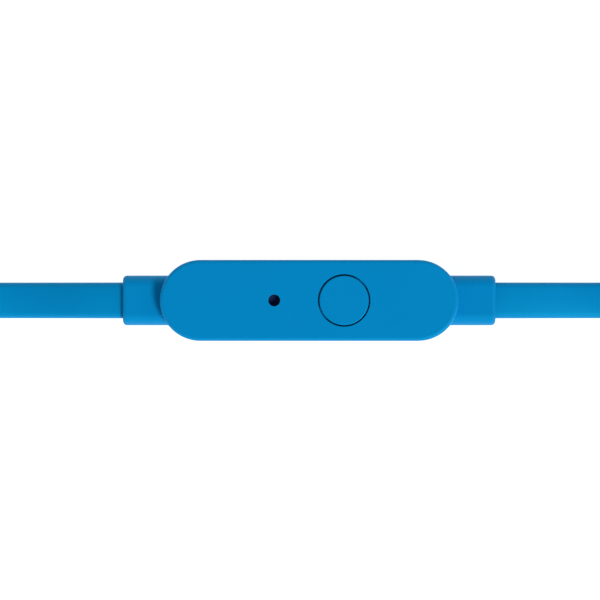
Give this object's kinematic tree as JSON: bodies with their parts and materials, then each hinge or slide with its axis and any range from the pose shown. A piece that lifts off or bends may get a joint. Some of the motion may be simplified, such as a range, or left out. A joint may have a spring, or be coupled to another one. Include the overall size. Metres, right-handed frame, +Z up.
{
  "type": "in-ear earphones",
  "caption": "Wired in-ear earphones on flat blue cords with a pill-shaped in-line microphone remote, a splitter and a headset plug; the spare cord is tied in hanks.",
  "frame": {"origin": "middle of the remote's flat back, which lies on z = 0", "axes": "+X along the cord from the remote towards the plug, +Z up out of the remote's button face, +Y across the remote"},
  "size_m": [0.1957, 0.0266, 0.011],
  "materials": {
    "casing_plastic": "satin blue moulded plastic",
    "button_plastic": "satin blue moulded plastic",
    "collar_rubber": "matte blue soft plastic",
    "cord_jacket": "matte blue flat cord jacket",
    "tie_plastic": "plastic-covered wire",
    "board": "green solder mask",
    "chips": "dull",
    "solder": "bright",
    "wire_enamel": "enamelled copper",
    "switch_plastic": "moulded",
    "spring_steel": "bright",
    "capsule_metal": "satin",
    "black_rubber": "matte",
    "mesh_steel": "woven",
    "crimp_metal": "tinned",
    "plug_metal": "nickel plated, polished",
    "plug_insulation": "moulded",
    "silicone": "soft, satin",
    "bezel_metal": "polished",
    "driver_plastic": "moulded",
    "magnet_metal": "nickel plated",
    "diaphragm_film": "thin polyester film"
  },
  "bodies": {
    "earphones": {"bezel_left": "bezel_metal", "bezel_right": "bezel_metal", "board_components": "chips", "circuit_board": "board", "collar_left": "collar_rubber", "collar_right": "collar_rubber", "cord_branch_hank": "cord_jacket", "cord_left_lead": "cord_jacket", "cord_left_tail": "cord_jacket", "cord_plug_hank": "cord_jacket", "cord_plug_run": "cord_jacket", "cord_plug_tail": "cord_jacket", "cord_right_lead": "cord_jacket", "cord_right_tail": "cord_jacket", "cord_splitter_run": "cord_jacket", "driver_diaphragm_left": "diaphragm_film", "driver_diaphragm_right": "diaphragm_film", "driver_frame_left": "driver_plastic", "driver_frame_right": "driver_plastic", "driver_magnet_left": "magnet_metal", "driver_magnet_right": "magnet_metal", "ear_boot_left": "collar_rubber", "ear_boot_right": "collar_rubber", "front_housing_left": "casing_plastic", "front_housing_right": "casing_plastic", "front_shell": "casing_plastic", "hank_tie_left": "tie_plastic", "hank_tie_right": "tie_plastic", "microphone_boot": "black_rubber", "microphone_capsule": "capsule_metal", "microphone_leads": "capsule_metal", "microphone_mesh": "mesh_steel", "nozzle_mesh_left": "mesh_steel", "nozzle_mesh_right": "mesh_steel", "plug_boot": "collar_rubber", "plug_grip": "casing_plastic", "plug_insulator": "plug_insulation", "plug_ring_1": "plug_metal", "plug_ring_2": "plug_metal", "plug_sleeve": "plug_metal", "plug_tip": "plug_metal", "rear_housing_left": "casing_plastic", "rear_housing_right": "casing_plastic", "rear_shell": "casing_plastic", "snap_dome": "spring_steel", "solder_joints": "solder", "splitter_base": "casing_plastic", "splitter_crimps": "crimp_metal", "splitter_top": "casing_plastic", "switch_body": "switch_plastic", "wires_left": "wire_enamel", "wires_right": "wire_enamel"},
    "button": {"button_cap": "button_plastic"},
    "switch_plunger": {"switch_actuator": "switch_plastic"},
    "left_ear_tip": {"ear_tip_left": "silicone"},
    "right_ear_tip": {"ear_tip_right": "silicone"}
  },
  "joints": [
    {"name": "button_press", "type": "slide", "parent": "earphones", "child": "button", "axis": [0, 0, -1], "range_m": [0, 0.00025], "stiffness_N_per_m": 1500, "deforming": ["snap_dome"]},
    {"name": "switch_plunger_press", "type": "slide", "parent": "earphones", "child": "switch_plunger", "axis": [0, 0, -1], "range_m": [0, 0.00025], "deforming": ["snap_dome"]},
    {"name": "left_tip_pull", "type": "slide", "parent": "earphones", "child": "left_ear_tip", "axis": [-1, 0, 0], "range_m": [0, 0.008]},
    {"name": "right_tip_pull", "type": "slide", "parent": "earphones", "child": "right_ear_tip", "axis": [-1, 0, 0], "range_m": [0, 0.008]}
  ],
  "couplings": [
    {"joint": "switch_plunger_press", "follows": "button_press", "ratio": 1}
  ]
}
